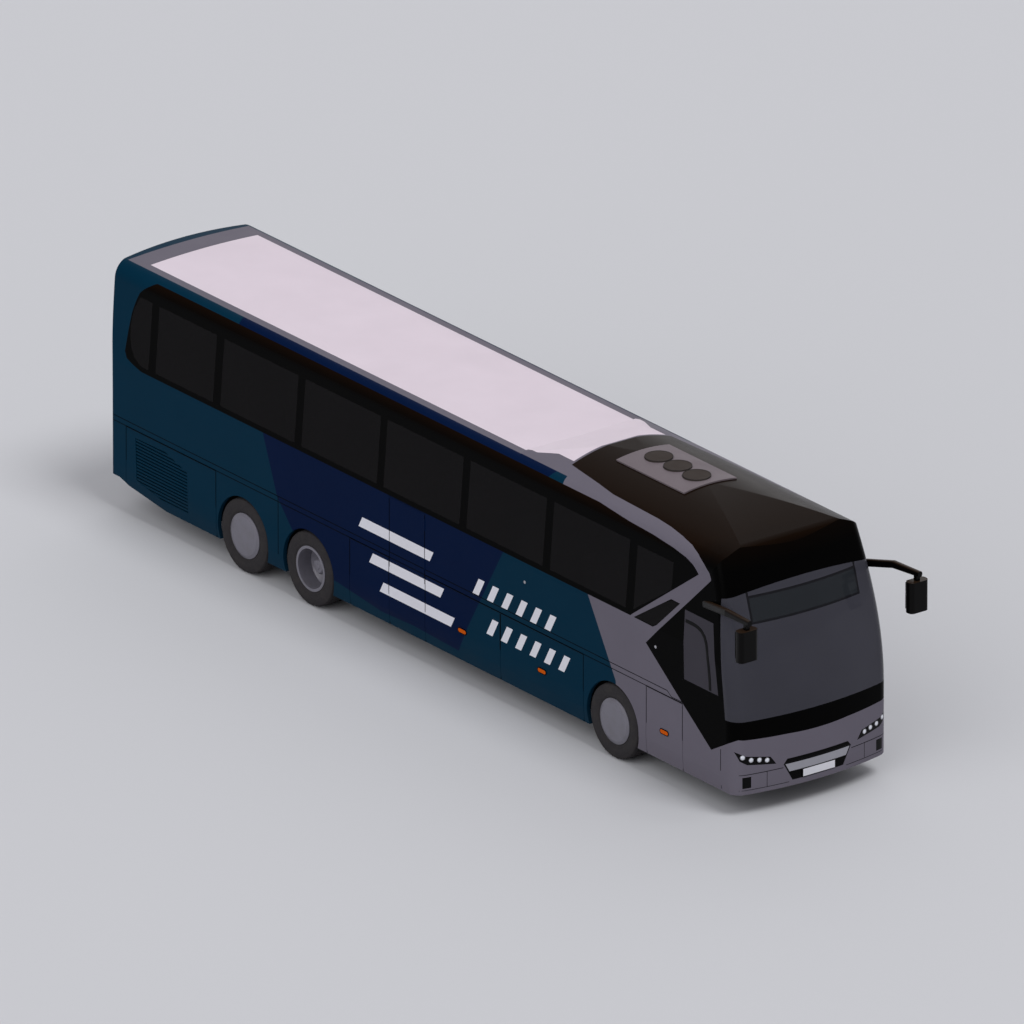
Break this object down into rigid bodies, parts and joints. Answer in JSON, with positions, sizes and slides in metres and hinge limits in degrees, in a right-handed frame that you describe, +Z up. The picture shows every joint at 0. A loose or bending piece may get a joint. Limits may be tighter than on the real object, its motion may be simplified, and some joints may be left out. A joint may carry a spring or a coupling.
{
  "type": "three-axle touring coach",
  "caption": "Touring coach with glazed saloon, raised front dome, luggage flaps, emergency door, steered front wheels, twin drive wheels and tag wheels.",
  "frame": {"origin": "on the ground, under the middle of the overall box", "axes": "+X forward, +Y to the coach's left, +Z up"},
  "size_m": [14.164, 3.1, 3.7358],
  "materials": {
    "body_paint": "clear-coated paint",
    "black_gloss": "gloss black",
    "hatch_paint": "satin paint",
    "frame_steel": "underbody paint",
    "clear_glass": "tinted laminated glass",
    "dark_glass": "privacy glass",
    "floor_covering": "ribbed floor covering",
    "cab_plastic": "grained",
    "seat_cloth": "woven plush",
    "engine_iron": "cast",
    "lamp_plastic": "moulded lamp housings",
    "tyre_rubber": "matt rubber",
    "wheel_metal": "satin"
  },
  "bodies": {
    "coach": {"side_wall_right": "body_paint", "side_wall_left": "body_paint", "roof": "body_paint", "front_dome": "black_gloss", "front_panel": "body_paint", "front_bumper": "body_paint", "front_grille": "black_gloss", "rear_wall": "body_paint", "saloon_floor": "floor_covering", "cab_floor": "floor_covering", "luggage_bay": "frame_steel", "wheel_houses": "frame_steel", "chassis_rails": "frame_steel", "windscreen": "clear_glass", "window_glass": "dark_glass", "dashboard": "cab_plastic", "steering_wheel": "cab_plastic", "seats": "seat_cloth", "engine": "engine_iron", "lamps": "lamp_plastic", "mirrors": "black_gloss", "front_axle": "frame_steel", "drive_axle": "frame_steel", "tag_axle": "frame_steel", "roof_hatch": "hatch_paint", "destination_sign": "black_gloss", "passenger_door": "body_paint"},
    "engine_flap_right": {"engine_flap_right": "body_paint"},
    "service_flap_right": {"service_flap_right": "body_paint"},
    "luggage_flap_right_rear": {"luggage_flap_right_rear": "body_paint"},
    "luggage_flap_right_front": {"luggage_flap_right_front": "body_paint"},
    "front_flap_right": {"front_flap_right": "body_paint"},
    "luggage_flap_left_rear": {"luggage_flap_left_rear": "body_paint"},
    "luggage_flap_left_middle": {"luggage_flap_left_middle": "body_paint"},
    "luggage_flap_left_front": {"luggage_flap_left_front": "body_paint"},
    "emergency_door": {"emergency_door": "body_paint"},
    "engine_lid": {"engine_lid": "body_paint"},
    "knuckle_right": {"knuckle_right": "frame_steel"},
    "front_wheel_right": {"front_tyre_right": "tyre_rubber", "front_rim_right": "wheel_metal"},
    "drive_wheel_right": {"drive_tyres_right": "tyre_rubber", "drive_rims_right": "wheel_metal"},
    "tag_wheel_right": {"tag_tyre_right": "tyre_rubber", "tag_rim_right": "wheel_metal"},
    "knuckle_left": {"knuckle_left": "frame_steel"},
    "front_wheel_left": {"front_tyre_left": "tyre_rubber", "front_rim_left": "wheel_metal"},
    "drive_wheel_left": {"drive_tyres_left": "tyre_rubber", "drive_rims_left": "wheel_metal"},
    "tag_wheel_left": {"tag_tyre_left": "tyre_rubber", "tag_rim_left": "wheel_metal"}
  },
  "joints": [
    {"name": "engine_flap_right_hinge", "type": "hinge", "parent": "coach", "child": "engine_flap_right", "pos_m": [-5.634, -1.275, 1.27], "axis": [-1, 0, 0], "range_deg": [0, 90]},
    {"name": "service_flap_right_hinge", "type": "hinge", "parent": "coach", "child": "service_flap_right", "pos_m": [-1.2735, -1.275, 1.27], "axis": [-1, 0, 0], "range_deg": [0, 90]},
    {"name": "luggage_flap_right_rear_hinge", "type": "hinge", "parent": "coach", "child": "luggage_flap_right_rear", "pos_m": [0.7555, -1.275, 1.27], "axis": [-1, 0, 0], "range_deg": [0, 90]},
    {"name": "luggage_flap_right_front_hinge", "type": "hinge", "parent": "coach", "child": "luggage_flap_right_front", "pos_m": [2.471, -1.275, 1.27], "axis": [-1, 0, 0], "range_deg": [0, 90]},
    {"name": "front_flap_right_hinge", "type": "hinge", "parent": "coach", "child": "front_flap_right", "pos_m": [5.1005, -1.275, 1.27], "axis": [-1, 0, 0], "range_deg": [0, 90]},
    {"name": "luggage_flap_left_rear_hinge", "type": "hinge", "parent": "coach", "child": "luggage_flap_left_rear", "pos_m": [-0.884, 1.275, 1.27], "axis": [1, 0, 0], "range_deg": [0, 90]},
    {"name": "luggage_flap_left_middle_hinge", "type": "hinge", "parent": "coach", "child": "luggage_flap_left_middle", "pos_m": [0.7555, 1.275, 1.27], "axis": [1, 0, 0], "range_deg": [0, 90]},
    {"name": "luggage_flap_left_front_hinge", "type": "hinge", "parent": "coach", "child": "luggage_flap_left_front", "pos_m": [2.471, 1.275, 1.27], "axis": [1, 0, 0], "range_deg": [0, 90]},
    {"name": "emergency_door_hinge", "type": "hinge", "parent": "coach", "child": "emergency_door", "pos_m": [-0.065, -1.275, 1.2], "axis": [0, 0, 1], "range_deg": [0, 90]},
    {"name": "engine_lid_hinge", "type": "hinge", "parent": "coach", "child": "engine_lid", "pos_m": [-7.073, 0, 1.897], "axis": [0, 1, 0], "range_deg": [0, 80]},
    {"name": "steer_right", "type": "hinge", "parent": "coach", "child": "knuckle_right", "pos_m": [3.993, -1, 0.522], "axis": [0, 0, 1], "range_deg": [-45, 45]},
    {"name": "steer_left", "type": "hinge", "parent": "coach", "child": "knuckle_left", "pos_m": [3.993, 1, 0.522], "axis": [0, 0, 1], "range_deg": [-45, 45]},
    {"name": "front_wheel_right_spin", "type": "hinge", "parent": "knuckle_right", "child": "front_wheel_right", "pos_m": [3.993, -1.1145, 0.522], "axis": [0, 1, 0], "continuous": true},
    {"name": "front_wheel_left_spin", "type": "hinge", "parent": "knuckle_left", "child": "front_wheel_left", "pos_m": [3.993, 1.1145, 0.522], "axis": [0, 1, 0], "continuous": true},
    {"name": "drive_wheel_right_spin", "type": "hinge", "parent": "coach", "child": "drive_wheel_right", "pos_m": [-2.607, -1.1145, 0.522], "axis": [0, 1, 0], "continuous": true},
    {"name": "drive_wheel_left_spin", "type": "hinge", "parent": "coach", "child": "drive_wheel_left", "pos_m": [-2.607, 1.1145, 0.522], "axis": [0, 1, 0], "continuous": true},
    {"name": "tag_wheel_right_spin", "type": "hinge", "parent": "coach", "child": "tag_wheel_right", "pos_m": [-4.047, -1.1145, 0.522], "axis": [0, 1, 0], "continuous": true},
    {"name": "tag_wheel_left_spin", "type": "hinge", "parent": "coach", "child": "tag_wheel_left", "pos_m": [-4.047, 1.1145, 0.522], "axis": [0, 1, 0], "continuous": true}
  ],
  "couplings": [
    {"joint": "steer_left", "follows": "steer_right", "ratio": 1}
  ]
}
